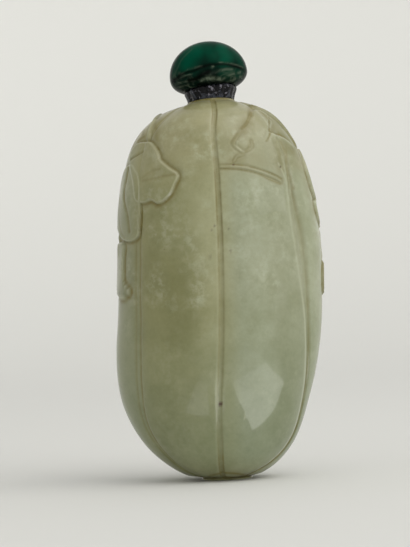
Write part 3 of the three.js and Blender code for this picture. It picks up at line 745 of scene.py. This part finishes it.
class SnuffBottleSettings(bpy.types.PropertyGroup):
    """The bottle's carving and the stone's colours."""

    rib_bulge: length("Rib bulge", "How far a rib's crest stands over its edges", 0.55)
    channel_depth: length("Channel depth", "Depth of the cut line between two ribs", 0.26)
    moat_depth: length("Ground cut", "How deep the ground is cut back round a leaf", 0.16)
    moat_width: length("Ground width", "How far from a leaf the cut ground fades", 0.6)
    pale: colour("Pale stone", "The stone's middle tone", (0.36, 0.36, 0.21))
    # Also the colour of the painted shade on the right shoulder and on the left half's middle.
    shade: colour("Clouds", "What the stone's darker clouds multiply it by", (0.84, 0.85, 0.78))
    # Partly painted shade: the left side is darker in this tone.
    olive_and_shade: colour("Olive stone", "The browner green on the left", (0.27, 0.262, 0.118))
    cool: colour("Cool stone", "The greyer green on the right", (0.35, 0.372, 0.255))
    # The colour of the painted shade at the far left, in a band on the right and low down.
    side: colour("Side stone", "The greyer green at the sides and low down", (0.28, 0.29, 0.185))
    warm: colour("Warm stone", "The yellow-brown tinge near the top", (0.335, 0.31, 0.17))
    # Painted shade: multiplies the lower end darker.
    deep: colour("Deep end", "What the lower end's tone is multiplied by", (0.70, 0.80, 0.72))
    # Also the colour of the painted highlights on edges and ridges.
    fleck_and_highlight: colour("Flecks", "Cloudy flecks and thin edges", (0.50, 0.52, 0.39))
    # Also the colour of the painted shade on the right channel's floor and on the right side's
    # leaves and bud.
    stain_and_shade: colour("Stain", "Brown in the cut lines", (0.175, 0.147, 0.038))


class SnuffStopperSettings(bpy.types.PropertyGroup):
    """The stopper's colours."""

    dome_dark: colour("Dome", "The dome's dark middle", (0.003, 0.012, 0.008))
    # The colour of the painted glow.
    dome_bright: colour("Dome glow", "The green that glows in the dome", (0.0002, 0.058, 0.031))
    # Partly painted reflection.
    dome_streak: colour("Dome streaks", "Pale streaks low in the dome", (0.13, 0.165, 0.12))
    collar_dark: colour("Collar", "The collar's dark ground", (0.002, 0.002, 0.0035))
    # Grey blotches spread by noise.
    collar_grey: colour("Collar wear", "Grey marks on the collar", (0.045, 0.05, 0.066))
    cork: colour("Cork", "The cork under the collar", (0.42, 0.26, 0.13))


class SnuffStageSettings(bpy.types.PropertyGroup):
    """Light and view."""

    view_width: length("View distance", "From the camera to the bottle's axis", 400)
    floor: colour("Floor", "The pale wall that the floor bends up into", (0.85, 0.85, 0.82))


# ------------------------------------------------------------------ operators
class SNUFF_OT_bottle(bpy.types.Operator):
    """Build the hollow ribbed bottle with its carved leaves, stems and cut lines"""

    bl_idname = "snuff.bottle"
    bl_label = "Build Bottle"

    def rows(self):
        """The skin's w values: close together by the foot and where the carving is."""
        w = np.linspace(angle_at_half_width(BELLY, BELLY[5]),
                        angle_at_half_width(SHOULDER, SHOULDER[5]), 4000)
        z, wide, _ = profile(w)
        spacing = np.where(z > CARVED_ABOVE, CARVED_ROW, PLAIN_ROW)
        spacing = np.where(z < FOOT_TOP, FOOT_ROW, spacing)
        count = np.concatenate([[0], np.cumsum(np.hypot(np.diff(z), np.diff(wide))
                                               / spacing[1:])])
        return np.interp(np.linspace(0, count[-1], int(count[-1])), count, w)

    def columns(self, z, wide, deep):
        """Each row's angles: across a channel, then across the rib that follows it."""
        channels = list(CHANNELS.values())
        places = [channel_place(c, z, wide, deep) for c in channels]
        blocks = []
        for k, (middle, half, speed) in enumerate(places):
            reach = (half / speed)[:, None]
            blocks.append(middle[:, None] + reach * np.linspace(-1, 1, CHANNEL_COLUMNS))
            after, half_after, speed_after = places[(k + 1) % len(places)]
            turn = TURN if k + 1 == len(places) else 0
            start = middle[:, None] + reach
            stop = (after + turn - half_after / speed_after)[:, None]
            count = channels[k]["columns"]
            blocks.append(start + (stop - start) * np.arange(1, count + 1) / (count + 1))
        return np.hstack(blocks)

    def channels(self, theta, z, wide, deep):
        """The cut lines: how deep, how stained (the right one's floor with painted shade) and how
        pale their edges are (partly painted highlight).

        Across a channel of half-width h the depth falls from 1 to 0 between h / 2 and h, and a
        stained line runs down each corner of its floor. The right one slopes down to its far
        side, behind a pale ridge. The left one is a deep line and a faint one.
        """
        cut, stain_and_shade, pale_edge_and_highlight = np.zeros((3,) + theta.shape)
        for name, channel in CHANNELS.items():
            middle, half, speed = channel_place(channel, z, wide, deep)
            x = angle_between(theta, middle) * speed
            s = x / half
            brown = along(channel["brown"], z)
            if name == "right":
                cut += smooth_step(-1.0, 0.4, s) * (1 - smooth_step(0.6, 1.05, s))
                low = 1 - smooth_step(14, 26, z)
                high = smooth_step(26, 34, z)
                # A pale edge along the right channel's near side, partly painted highlight.
                pale_edge_and_highlight += (1 + 0.4 * low - 0.45 * high) * bell(x + half + 0.1 * low,
                                                            0.28 + 0.16 * low)
                # Painted shade darkens the right channel's floor through the stain values.
                shaded = 0.3 * (1 - smooth_step(0.5, 1.0, np.abs(s)))
                line = np.maximum(bell(x - 0.6 * half, 0.25), shaded)
                stain_and_shade = np.maximum(stain_and_shade, brown * line)
            elif name == "left":
                deep_line, faint_line = bell(x - 0.75 * half, 0.27), bell(x + 0.75 * half, 0.2)
                cut += 0.25 * (1 - smooth_step(0.6, 1.1, np.abs(s))) + 0.55 * deep_line
                cut += 0.25 * faint_line
                stain_and_shade = np.maximum(stain_and_shade, brown * np.maximum(deep_line, 0.5 * faint_line))
            else:
                fall = 1 - smooth_step(0.5, 1.0, np.abs(s))
                line = bell(np.abs(x) - 0.85 * half, 0.13)
                cut += 0.6 * fall + 0.2 * line
                pale_edge_and_highlight += 0.25 * bell(x + 1.5 * half, 0.2)
                stain_and_shade = np.maximum(stain_and_shade, brown * np.maximum(line, 0.5 * fall))
        return cut * np.minimum(1, wide / 8), stain_and_shade, np.clip(pale_edge_and_highlight, 0, 1)

    def carve(self, theta, w, points, settings):
        """All that stands over or under the smooth skin, and the stone's vertex values."""
        z, wide, deep = profile(w)
        cut, stain_and_shade, pale_edge_and_highlight = self.channels(theta, z, wide, deep)
        bulge = settings.rib_bulge / MM
        moat_width = settings.moat_width / MM
        height, ground, on_leaf, outline = np.zeros((4,) + theta.shape)
        for leaf in LEAVES.values():
            inside = inside_leaf(theta, z, points, leaf["through"], bulge)
            start, full = leaf.get("fade", (-999, -998))
            shown = smooth_step(start, full, np.degrees(angle_between(theta, 0)))
            shown *= smooth_step(*leaf.get("low", (-2, -1)), z)
            top = smooth_step(-0.1, 0.25, inside) * shown
            edge = 0.05 * bell(inside - 0.4, 0.3) - 0.05 * smooth_step(0.8, 3.0, inside)
            height = np.maximum(height, top * (leaf["rise"] + edge))
            on_leaf = np.maximum(on_leaf, top)
            outside = np.clip(-inside, 0, None)
            ground = np.maximum(ground, bell(outside, moat_width) * (1 - top) * shown)
            # Painted highlight along the inside of each leaf's edge.
            pale_edge_and_highlight = np.maximum(pale_edge_and_highlight, 0.8 * bell(inside - 0.2, 0.15) * shown)
            line = 0.85 * bell(outside - 0.22, 0.25) + 0.35 * bell(outside - 0.2, 0.7)
            outline = np.maximum(outline, line * (1 - top) * shown)
        ground *= 1 - on_leaf
        stain_and_shade = np.maximum(stain_and_shade * (1 - 0.9 * on_leaf), outline * (1 - on_leaf))
        for radius, rise, brown, places in STEMS.values():
            gap, share = gap_to_line(points, places, 48, bulge)
            taper = radius * (1 - 0.25 * share)
            body = np.sqrt(np.clip(1 - (gap / (1.15 * taper)) ** 2, 0, 1))
            beside = bell(gap - 1.45 * taper, 0.24) * (1 - on_leaf)
            height = np.maximum(height, rise * body + 0.5 * height * (body > 0))
            ground = np.maximum(ground, 0.5 * beside)
            stain_and_shade = np.maximum(stain_and_shade * (1 - 0.6 * body), np.maximum(0.6 * beside, brown * body))
        veins = np.zeros_like(theta)
        for half, depth, brown, places in VEINS:
            gap, share = gap_to_line(points, places, 24, bulge)
            line = bell(gap, half) * smooth_step(0, 0.08, 1 - share)
            veins = np.maximum(veins, depth * line)
            stain_and_shade = np.maximum(stain_and_shade, brown * line)
        for half, brown, places in PATCHES:
            gap, _ = gap_to_line(points, places, 24, bulge)
            stain_and_shade = np.maximum(stain_and_shade, brown * bell(gap, half))
        for half, rise, painted_highlight, places in RIDGES:
            gap, _ = gap_to_line(points, places, 16, bulge)
            height += rise * bell(gap, half)
            # Painted highlight along each ridge.
            pale_edge_and_highlight = np.maximum(pale_edge_and_highlight, painted_highlight * bell(gap, half))
            stain_and_shade *= 1 - 0.8 * bell(gap, half)
        cloud = np.zeros_like(theta)
        for half, strength, places in CLOUDS:
            gap, _ = gap_to_line(points, places, 8, bulge)
            cloud = np.maximum(cloud, strength * bell(gap, half))
        pit = np.zeros_like(theta)
        for pit_theta, pit_z, radius, darkness in PITS:
            at = on_skin(np.array([[pit_theta, pit_z]]), bulge)[0]
            gap = np.linalg.norm(points - at, axis=-1)
            pit = np.maximum(pit, darkness * (1 - smooth_step(0.6 * radius, 1.5 * radius, gap)))
        uneven = WAVE * (np.sin(0.55 * points[..., 2] + 0.3 * points[..., 0])
                         + np.sin(0.7 * points[..., 0] - 0.25 * points[..., 2]))
        over = (height - veins + uneven - PIT_DEPTH * pit
                - cut * (1 - on_leaf) * settings.channel_depth / MM
                - ground * settings.moat_depth / MM)
        return over, {"stain_and_shade": np.clip(stain_and_shade, 0, 1), "pale_edge_and_highlight": pale_edge_and_highlight * (1 - ground), "pit": pit,
                      "cloud": cloud}

    def ovals(self, theta, rings):
        """Rings x = a sin(theta), y = -b cos(theta) at height z, from rows of (a, b, z)."""
        a, b, z = np.array(rings, float).T[..., None]
        return np.stack([a * np.sin(theta), -b * np.cos(theta), z + 0 * theta], axis=-1)

    def inside(self, theta):
        """The mouth, the bore and the hollow, from the lip down, as rows of rings."""
        reach = math.asin((1 - (BORE_RADIUS / CAVITY_HALF_WIDTH) ** SHOULDER[3])
                          ** (1 / SHOULDER[2]))
        rings = [(BORE_RADIUS + BORE_EDGE, BORE_RADIUS + BORE_EDGE, HEIGHT),
                 (BORE_RADIUS, BORE_RADIUS, HEIGHT - BORE_EDGE)]
        levels = [(SHOULDER, CAVITY_REACH, reach * (1 - i / CAVITY_ROWS_UP))
                  for i in range(CAVITY_ROWS_UP + 1)]
        levels += [(BELLY, WIDEST - CAVITY_BOTTOM, math.radians(87) * i / CAVITY_ROWS_DOWN)
                   for i in range(1, CAVITY_ROWS_DOWN + 1)]
        for (sign, _, p, q, _, _), distance, angle in levels:
            s = math.sin(angle)
            wide = CAVITY_HALF_WIDTH * (1 - s ** p) ** (1 / q)
            slim = CAVITY_HALF_DEPTH / CAVITY_HALF_WIDTH
            rings.append((wide, wide * (slim + (1 - slim) * s ** 6),
                          WIDEST + sign * distance * s))
        grid = self.ovals(theta, rings)
        grid[:2, :, 2] += mouth_lift(grid[:2, :, 0], grid[:2, :, 1])
        return grid

    def execute(self, context):
        settings = context.scene.snuff_bottle
        w = self.rows()[:, None]
        z, wide, deep = profile(w[:, 0])
        theta = self.columns(z, wide, deep)
        w = w + 0 * theta
        ribs = rib_offset(theta, w, settings.rib_bulge / MM)
        normal = outward(theta, w)
        points = smooth_point(theta, w) + normal * ribs[..., None]
        over, values = self.carve(theta, w, points, settings)
        points = points + normal * over[..., None]
        x, y = points[..., 0], points[..., 1]
        near = (w > 0) * (1 - smooth_step(LIP_RADIUS, 9, np.hypot(x, y)))
        points[..., 2] += mouth_lift(x, y) * near

        foot = self.ovals(theta[0], [
            *((RECESS_HALF_WIDTH * share, RECESS_HALF_DEPTH * share, up)
              for share, up in RECESS_RINGS),
            *((FOOT_HALF_WIDTH + a, FOOT_HALF_DEPTH + b, up) for a, b, up in FOOT_RINGS)])
        lip = self.ovals(theta[-1], [(LIP_RADIUS + out, LIP_RADIUS + out, HEIGHT + up)
                                     for out, up in LIP_RINGS])
        lip[..., 2] += mouth_lift(lip[..., 0], lip[..., 1])
        inner = self.inside(theta[-1][::INSIDE_SHARE])

        outer = np.concatenate([foot, points, lip])
        rows, columns = outer.shape[:2]
        inner_rows, inner_columns = inner.shape[:2]
        start = rows * columns
        ends = [[0, 0, RECESS_DEPTH], [0, 0, CAVITY_BOTTOM]]
        vertices = np.vstack([outer.reshape(-1, 3), inner.reshape(-1, 3), ends])
        count = len(vertices)

        fine, coarse = np.arange(columns) + start - columns, np.arange(inner_columns) + start
        spans = np.arange(inner_columns)[:, None] * INSIDE_SHARE + np.arange(INSIDE_SHARE + 1)
        rim_faces = np.hstack([fine[spans % columns], np.roll(coarse, -1)[:, None],
                               coarse[:, None]]).tolist()
        faces = [*wrap_quads(rows, columns).tolist(), *rim_faces,
                 *wrap_quads(inner_rows, inner_columns, start).tolist(),
                 *fan(count - 2, np.arange(columns), False).tolist(),
                 *fan(count - 1, coarse + (inner_rows - 1) * inner_columns, True).tolist()]

        attributes = {}
        for key, skin in values.items():
            brown = key == "stain_and_shade"
            rings = [np.repeat(np.array(ring)[:, None] * brown, columns, axis=1)
                     for ring in (FOOT_BROWN, LIP_BROWN)]
            full = np.vstack([rings[0], skin, rings[1]]).ravel()
            attributes[key] = np.concatenate([full, np.zeros(count - full.size)])
        bottle = mesh_object("jade_bottle", vertices, faces, attributes, sharp=math.radians(55))
        bottle.data.materials.append(jade_finish(settings))
        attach(bottle, "root")
        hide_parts("bottle_body")
        return {"FINISHED"}


class SNUFF_OT_stopper(bpy.types.Operator):
    """Build the stopper: the green dome, the dark fluted collar and the cork"""

    bl_idname = "snuff.stopper"
    bl_label = "Build Stopper"

    def dome(self):
        """Half an ellipse over the girdle and a flatter one under it, tilted on the collar.

        On the left the under side is fuller: its radius grows by 0.25 sin(t)^2.
        """
        under = np.linspace(math.asin(DOME_UNDER / DOME_UNDER_REACH), 0, 20)[:-1]
        over = np.linspace(0, math.radians(88), 44)
        outline = [(r, 0.0) for r in DOME_SEAT]
        outline += [(DOME_RADIUS * math.cos(t), DOME_UNDER - DOME_UNDER_REACH * math.sin(t))
                    for t in under]
        outline += [(DOME_RADIUS * math.cos(t), DOME_UNDER + DOME_HEIGHT * math.sin(t))
                    for t in over]
        c, s = math.cos(STOPPER_TILT), math.sin(STOPPER_TILT)

        def tilt(grid, theta):
            x, y, z = np.moveaxis(grid, -1, 0)
            sink = np.clip((DOME_UNDER - z) / DOME_UNDER_REACH, 0, 1) ** 2
            full = 1 + 0.25 * sink * np.clip(-x / DOME_RADIUS, 0, 1)
            x, y = x * full, y * full
            z = z - MOUTH_LEAN * y
            return np.stack([x * c - z * s, y, x * s + z * c + DOME_LIFT], axis=-1)

        def marks(points):
            x, y, z = points.T
            front = smooth_step(0.5, 2.5, -y)
            place = np.stack([x, z - DOME_LIFT], axis=-1)
            values = {}
            for key, lines in DOME_MARKS.items():
                total = np.zeros(len(x))
                for half, strength, line in lines:
                    gap, _ = nearest_on_path(place, np.array(line, float))
                    total = np.maximum(total, strength * bell(gap, half))
                values[key] = total * front
            return values

        return turned_piece("green_dome", outline, 176, tilt, marks)

    def collar(self):
        """Fluted: the radius falls by the flute's depth between ribs; its top is on the slant."""
        def flute(grid, theta):
            x, y, share = np.moveaxis(grid, -1, 0)
            radius = np.hypot(x, y)
            outer = radius > 3.9
            ridges = (1 - np.abs(np.cos(COLLAR_FLUTES * theta / 2)) ** 0.7) * outer
            uneven = 0.05 * np.sin(5 * theta + 1.3) + 0.04 * np.sin(11 * theta)
            scale = (radius - (0.13 * ridges + uneven * outer)) / radius
            x, y = x * scale, y * scale
            low = HEIGHT + SEAT_GAP + mouth_lift(x, y)
            high = (HEIGHT + SEAT_GAP + COLLAR_HEIGHT + math.tan(STOPPER_TILT) * x
                    - MOUTH_LEAN * y)
            return np.stack([x, y, low + (high - low) * share], axis=-1)

        return turned_piece("dark_collar", COLLAR_OUTLINE, 192, flute)

    def plug(self):
        """A tapered plug with softened ends."""
        top = HEIGHT - (MOUTH_SLOPE + MOUTH_LEAN) * CORK_TOP
        outline = [(1.5, top - CORK_LENGTH), (CORK_FOOT - 0.2, top - CORK_LENGTH),
                   (CORK_FOOT, top - CORK_LENGTH + 0.2), (CORK_TOP, top - 0.1),
                   (CORK_TOP - 0.1, top), (1.5, top)]
        return turned_piece("cork_plug", outline, 48)

    def execute(self, context):
        look = context.scene.snuff_stopper
        for piece, finish, node, slot in (
                (self.dome(), dome_finish, "stopper_cap", "green_dome"),
                (self.collar(), collar_finish, "stopper_collar", "dark_collar"),
                (self.plug(), cork_finish, "stopper_cork", "cork")):
            piece.data.materials.append(finish(look))
            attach(piece, "root")
            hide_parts(node)
        return {"FINISHED"}


# The floor is flat to its edge and then bends up. It is painted less pale near the bottle, a
# painted shade that evens out the stronger lamp light on the flat floor there.
FLOOR_EDGE, FLOOR_BEND = 450, 900
NEAR_FLOOR = 0.77
# The main lamp: its name, place, aim, size, power and colour.
KEY_LAMP = ("key", (520, -300, 560), (0, 0, 35), (900, 900), 3.3, (1, 0.99, 0.96))
# Pale cards that lie on the floor before the bottle and show only as gloss low on its ribs:
# their left, right, near and far edges, and how bright they are.
CARDS = (
    ("card", (9.7, 48, -17.5, -62), 3.5),
    ("far_card", (-14, 58, -62, -125), 1.5),
    ("left_card", (-16, -2, -28, -64), 1.4),
)
CARD_HEIGHT, CARD_SPREAD = 1.5, math.radians(160)
# Light from all round: where it is brightest, its strength there and opposite, its colour.
ROOM_FACING = (0.72, -0.25, 0.65)
ROOM_HIGH, ROOM_LOW = 1.08, 0.08
ROOM_COLOUR = (1.0, 0.995, 0.975, 1)
# The camera looks level along +Y from x = CAMERA_X, z = CAMERA_Z, rolled a little. Its picture
# is VIEW_HEIGHT high at the bottle's axis.
CAMERA_X, CAMERA_Z, CAMERA_ROLL = -2.3, 35.4, math.radians(2.5)
VIEW_HEIGHT = 94.1
SENSOR = 36


class SNUFF_OT_stage(bpy.types.Operator):
    """Set the pale floor, the soft lights and the camera"""

    bl_idname = "snuff.stage"
    bl_label = "Set Stage"

    def floor(self, tone):
        """A flat round floor that curves up into a pale wall far away on every side."""
        columns = 96
        bend = np.radians(np.linspace(0, 78, 20))
        outline = [(r, 0.0) for r in (40, 150, 300, FLOOR_EDGE)]
        outline += [(FLOOR_EDGE + FLOOR_BEND * math.sin(t), FLOOR_BEND * (1 - math.cos(t)))
                    for t in bend[1:]]
        theta = np.arange(columns) * TURN / columns
        radius, z = np.array(outline, float).T[..., None]
        grid = np.stack([radius * np.sin(theta), -radius * np.cos(theta), z + 0 * theta], -1)
        points = np.vstack([grid.reshape(-1, 3), [[0, 0, 0]]])
        faces = [*wrap_quads(len(outline), columns)[:, ::-1].tolist(),
                 *fan(len(points) - 1, np.arange(columns), True).tolist()]
        floor = mesh_object("floor", points, faces, sharp=None)
        paper = Finish("paper")
        away = paper.add("ShaderNodeVectorMath", {"operation": "LENGTH"}, i0=paper.place)
        share = paper.spread(away.outputs["Value"], 0.25, 1.1)
        # Painted shade: the floor's tone near the bottle.
        near = tuple(NEAR_FLOOR * c for c in tone)
        floor.data.materials.append(paper.finish(paper.mix(share, near, tuple(tone)), 0.85))

    def lamp(self, name, place, aim, size, power, tone=(1, 1, 1), only_gloss=False,
             spread=math.pi):
        """A soft area light at place, facing aim. The camera doesn't see it.

        One that is only_gloss gives no diffuse light.
        """
        light = bpy.data.lights.new(name, "AREA")
        light.shape, light.size, light.size_y = "RECTANGLE", size[0] * MM, size[1] * MM
        light.energy, light.color, light.spread = power, tone, spread
        lamp = bpy.data.objects.new(name, light)
        bpy.context.scene.collection.objects.link(lamp)
        away = np.array(place, float) - np.array(aim, float)
        lamp.location = np.array(place) * MM
        distance = np.linalg.norm(away)
        turn = math.atan2(away[1], away[0]) + math.pi / 2 if np.any(away[:2]) else 0
        lamp.rotation_euler = (math.acos(away[2] / distance), 0, turn)
        lamp.visible_camera = False
        lamp.visible_diffuse = not only_gloss

    def room(self, scene):
        """Light from all round, brighter from the upper right: low + (high - low) * facing."""
        world = bpy.data.worlds.new("pale_room")
        world.use_nodes = True
        tree = world.node_tree
        place = tree.nodes.new("ShaderNodeTexCoord")
        facing = tree.nodes.new("ShaderNodeVectorMath")
        facing.operation = "DOT_PRODUCT"
        facing.inputs[1].default_value = ROOM_FACING
        spread = tree.nodes.new("ShaderNodeMapRange")
        for key, value in zip(("From Min", "From Max", "To Min", "To Max"),
                              (-1, 1, ROOM_LOW, ROOM_HIGH)):
            spread.inputs[key].default_value = value
        back = tree.nodes["Background"]
        back.inputs["Color"].default_value = ROOM_COLOUR
        tree.links.new(place.outputs["Generated"], facing.inputs[0])
        tree.links.new(facing.outputs["Value"], spread.inputs["Value"])
        tree.links.new(spread.outputs["Result"], back.inputs["Strength"])
        scene.world = world

    def execute(self, context):
        scene = context.scene
        stage = scene.snuff_stage
        self.floor(stage.floor)
        self.lamp(*KEY_LAMP)
        for name, (left, right, near, far), glow in CARDS:
            size = (right - left, near - far)
            place = ((left + right) / 2, (near + far) / 2, CARD_HEIGHT)
            overhead = (*place[:2], 100)
            power = glow * math.pi * size[0] * size[1] * MM ** 2
            self.lamp(name, place, overhead, size, power, only_gloss=True, spread=CARD_SPREAD)
        self.room(scene)
        scene.view_settings.view_transform = "Standard"

        distance = stage.view_width / MM
        camera = bpy.data.objects.new("camera", bpy.data.cameras.new("camera"))
        scene.collection.objects.link(camera)
        camera.data.sensor_width = SENSOR
        camera.data.lens = SENSOR * distance / VIEW_HEIGHT
        camera.data.clip_start, camera.data.clip_end = 0.01, 10
        camera.location = (CAMERA_X * MM, -distance * MM, CAMERA_Z * MM)
        camera.rotation_euler = (math.radians(90), CAMERA_ROLL, 0)
        scene.camera = camera
        return {"FINISHED"}


class SNUFF_PT_panel(bpy.types.Panel):
    """Lists the pieces of the snuff bottle"""

    bl_label = "Snuff Bottle"
    bl_idname = "SNUFF_PT_panel"
    bl_space_type = "VIEW_3D"
    bl_region_type = "UI"
    bl_category = "Snuff Bottle"

    def draw(self, context):
        for operator in (SNUFF_OT_bottle, SNUFF_OT_stopper, SNUFF_OT_stage):
            self.layout.operator(operator.bl_idname)
        for group in (context.scene.snuff_bottle, context.scene.snuff_stopper,
                      context.scene.snuff_stage):
            box = self.layout.box()
            for key in group.__annotations__:
                box.prop(group, key)


SETTINGS = {"snuff_bottle": SnuffBottleSettings, "snuff_stopper": SnuffStopperSettings,
            "snuff_stage": SnuffStageSettings}
CLASSES = (*SETTINGS.values(), SNUFF_OT_bottle, SNUFF_OT_stopper, SNUFF_OT_stage, SNUFF_PT_panel)


def register():
    """Registers the classes and puts their settings on the scene."""
    for cls in CLASSES:
        bpy.utils.register_class(cls)
    for name, group in SETTINGS.items():
        setattr(bpy.types.Scene, name, PointerProperty(type=group))


def unregister():
    """Takes the settings and the classes away again."""
    for name in SETTINGS:
        delattr(bpy.types.Scene, name)
    for cls in reversed(CLASSES):
        bpy.utils.unregister_class(cls)


def main():
    """Builds every piece in order."""
    register()
    bpy.ops.snuff.bottle()
    bpy.ops.snuff.stopper()
    bpy.ops.snuff.stage()


if __name__ == "__main__":
    main()
